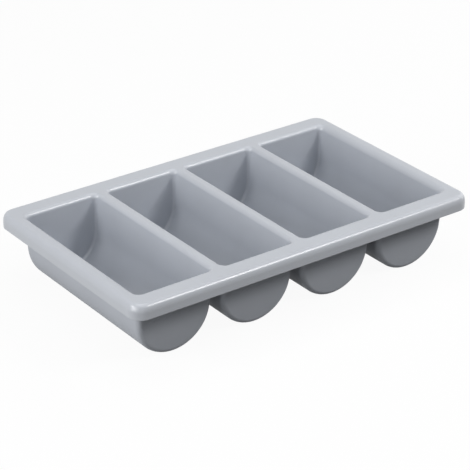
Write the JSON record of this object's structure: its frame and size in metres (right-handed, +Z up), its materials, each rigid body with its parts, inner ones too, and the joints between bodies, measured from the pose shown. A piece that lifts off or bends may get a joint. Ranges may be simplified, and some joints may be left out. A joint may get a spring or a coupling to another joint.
{
  "type": "cutlery tray",
  "caption": "Rectangular cutlery dispenser tray with side-by-side half-round compartments, rounded dividers and a wide rim with a downturned skirt.",
  "frame": {"origin": "centre of the footprint, at the lowest point of the half-round compartments", "axes": "+X along the long side, across the row of compartments; +Y to the back, along the compartments; +Z up"},
  "size_m": [0.53, 0.325, 0.1],
  "materials": {
    "plastic": "satin grey"
  },
  "bodies": {
    "root": {"tray": "plastic"}
  },
  "joints": []
}
